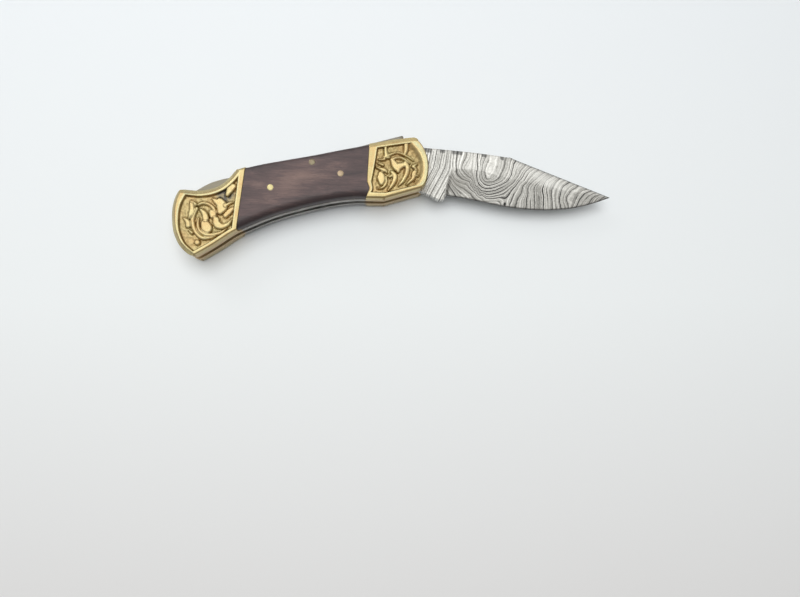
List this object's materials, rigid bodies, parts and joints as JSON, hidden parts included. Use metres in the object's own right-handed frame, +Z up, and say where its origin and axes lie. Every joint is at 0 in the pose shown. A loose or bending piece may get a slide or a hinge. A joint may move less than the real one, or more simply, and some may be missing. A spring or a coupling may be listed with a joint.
{
  "type": "folding pocket knife",
  "caption": "Open folding lockback knife with a layered-steel blade, dark wood covers, carved brass bolsters, steel liners, and a lock bar with its backspring.",
  "frame": {"origin": "under the middle of the open knife's outline, on the surface that the lower bolsters rest on", "axes": "+X from the butt towards the blade's tip, +Y towards the spine, +Z up through the knife's thickness"},
  "size_m": [0.128, 0.0368, 0.0118],
  "materials": {
    "layered_steel": "acid-etched layered steel with light and dark lines, satin",
    "spring_steel": "ground spring steel, dull grey",
    "liner_steel": "filed steel edge, dull grey",
    "bolster_brass": "cast and carved brass, polished on the rim, dark in the hollows",
    "pin_brass": "brass pin filed flush",
    "pin_steel": "turned steel pin",
    "dark_wood": "dark purplish brown hardwood, satin"
  },
  "bodies": {
    "handle": {"upper_liner": "liner_steel", "lower_liner": "liner_steel", "upper_front_bolster": "bolster_brass", "lower_front_bolster": "bolster_brass", "upper_rear_bolster": "bolster_brass", "lower_rear_bolster": "bolster_brass", "upper_scale": "dark_wood", "lower_scale": "dark_wood", "backspring": "spring_steel", "pivot_pin": "pin_steel", "rocker_pin": "pin_brass", "rear_spring_pin": "pin_steel", "front_spring_pin": "pin_steel", "upper_rear_scale_rivet": "pin_brass", "lower_rear_scale_rivet": "pin_brass", "upper_front_scale_rivet": "pin_brass", "lower_front_scale_rivet": "pin_brass", "upper_front_bolster_rivet_1": "pin_brass", "lower_front_bolster_rivet_1": "pin_brass", "upper_front_bolster_rivet_2": "pin_brass", "lower_front_bolster_rivet_2": "pin_brass", "upper_rear_bolster_rivet_1": "pin_brass", "lower_rear_bolster_rivet_1": "pin_brass", "upper_rear_bolster_rivet_2": "pin_brass", "lower_rear_bolster_rivet_2": "pin_brass"},
    "blade": {"blade": "layered_steel"},
    "lock_bar": {"lock_bar": "spring_steel"}
  },
  "joints": [
    {"name": "blade_fold", "type": "hinge", "parent": "handle", "child": "blade", "pos_m": [0.00197, 0.00753, 0.0059], "axis": [0, 0, 1], "range_deg": [-157, 0]},
    {"name": "lock_bar_rock", "type": "hinge", "parent": "handle", "child": "lock_bar", "pos_m": [-0.02353, 0.00893, 0.0059], "axis": [0, 0, 1], "range_deg": [-4, 0], "stiffness_Nm_per_rad": 1}
  ]
}
